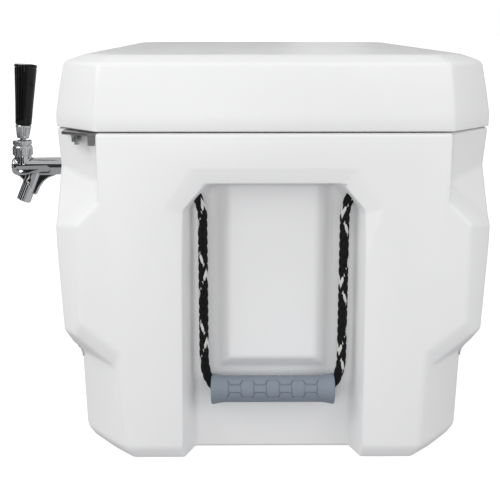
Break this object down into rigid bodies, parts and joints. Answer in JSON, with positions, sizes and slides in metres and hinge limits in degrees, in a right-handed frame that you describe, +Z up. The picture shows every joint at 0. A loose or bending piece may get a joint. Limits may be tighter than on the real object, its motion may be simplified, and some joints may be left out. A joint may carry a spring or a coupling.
{
  "type": "insulated cooler chest with beer tap",
  "caption": "Faceted insulated cooler chest with hinged lid, rope handles and a front beer tap fed through an internal chilling coil",
  "frame": {"origin": "centre of the chest's flat base, on the surface it stands on", "axes": "+X along the chest's length towards the near end, +Y towards the hinged back, the tap on the -Y front, +Z up"},
  "size_m": [0.711, 0.6005, 0.432],
  "materials": {
    "white_plastic": "satin moulded polyethylene",
    "liner_plastic": "satin moulded polyethylene",
    "foam": "closed-cell insulating foam, cut-cell matt",
    "black_rubber": "matt moulded rubber",
    "hinge_plastic": "fine-grained nylon",
    "steel": "brushed stainless steel",
    "chrome": "polished chrome plate",
    "washer_nylon": "plain nylon",
    "rope": "braided polyester with light flecks",
    "grip": "soft-touch moulded grip",
    "knob": "glossy moulded phenolic",
    "hose": "flexible food-grade hose"
  },
  "bodies": {
    "chest": {"body_shell": "white_plastic", "body_liner": "liner_plastic", "body_foam": "foam", "hinge_body_leaves": "hinge_plastic", "hinge_pins": "steel", "hinge_body_screws": "steel", "latch_keepers": "hinge_plastic", "lock_plates": "steel", "lock_plate_bolts": "steel", "lock_plate_nuts": "steel", "lock_plate_screws": "steel", "rope_anchors": "rope", "tap_shank": "chrome", "tap_flange_gasket": "black_rubber", "tap_flange": "chrome", "tap_wall_washer": "steel", "tap_wall_nut": "steel", "tap_coupling_nut": "chrome", "tap_body": "chrome", "tap_bonnet": "chrome", "tap_ball_washer": "washer_nylon", "tap_tailpiece": "steel", "tap_beer_nut": "chrome", "inlet_shank": "steel", "inlet_gasket": "black_rubber", "inlet_outer_nut": "steel", "inlet_wall_washer": "steel", "inlet_wall_nut": "steel", "inlet_tailpiece": "steel", "inlet_beer_nut": "steel", "chilling_coil": "steel", "coil_rack": "steel", "outlet_hose": "hose", "inlet_hose": "hose", "hose_clamps": "steel", "drain_spigot": "hinge_plastic", "drain_gasket": "black_rubber", "drain_nut": "hinge_plastic"},
    "lid": {"lid_shell": "white_plastic", "lid_foam": "foam", "lid_liner": "liner_plastic", "lid_gasket": "black_rubber", "hinge_lid_leaves": "hinge_plastic", "hinge_lid_screws": "steel", "latch_pins": "steel"},
    "latch_left": {"latch_strap_left": "black_rubber"},
    "latch_right": {"latch_strap_right": "black_rubber"},
    "handle_near": {"handle_rope_near": "rope", "handle_grip_near": "grip"},
    "handle_far": {"handle_rope_far": "rope", "handle_grip_far": "grip"},
    "tap_lever": {"lever_rod": "steel", "lever_ferrule": "chrome", "tap_knob": "knob"},
    "tap_valve": {"valve_rod": "steel", "valve_seat_washer": "black_rubber"},
    "drain_cap": {"drain_cap": "hinge_plastic"}
  },
  "joints": [
    {"name": "lid_hinge", "type": "hinge", "parent": "chest", "child": "lid", "pos_m": [0, 0.2355, 0.357], "axis": [-1, 0, 0], "range_deg": [0, 100]},
    {"name": "latch_left_swing", "type": "hinge", "parent": "lid", "child": "latch_left", "pos_m": [-0.19, -0.221, 0.388], "axis": [-1, 0, 0], "range_deg": [0, 110]},
    {"name": "latch_right_swing", "type": "hinge", "parent": "lid", "child": "latch_right", "pos_m": [0.19, -0.221, 0.388], "axis": [-1, 0, 0], "range_deg": [0, 110]},
    {"name": "handle_near_swing", "type": "hinge", "parent": "chest", "child": "handle_near", "pos_m": [0.338, 0, 0.282], "axis": [0, -1, 0], "range_deg": [0, 100]},
    {"name": "handle_far_swing", "type": "hinge", "parent": "chest", "child": "handle_far", "pos_m": [-0.338, 0, 0.282], "axis": [0, 1, 0], "range_deg": [0, 100]},
    {"name": "tap_lever_pull", "type": "hinge", "parent": "chest", "child": "tap_lever", "pos_m": [0, -0.3348, 0.296], "axis": [1, 0, 0], "range_deg": [0, 20]},
    {"name": "tap_valve_slide", "type": "slide", "parent": "chest", "child": "tap_valve", "axis": [0, 1, 0], "range_m": [0, 0.009]},
    {"name": "drain_cap_turn", "type": "hinge", "parent": "chest", "child": "drain_cap", "pos_m": [-0.35, 0.13, 0.086], "axis": [-1, 0, 0], "range_deg": [0, 360]}
  ],
  "couplings": [
    {"joint": "tap_valve_slide", "follows": "tap_lever_pull", "m_per_rad": 0.0255}
  ]
}
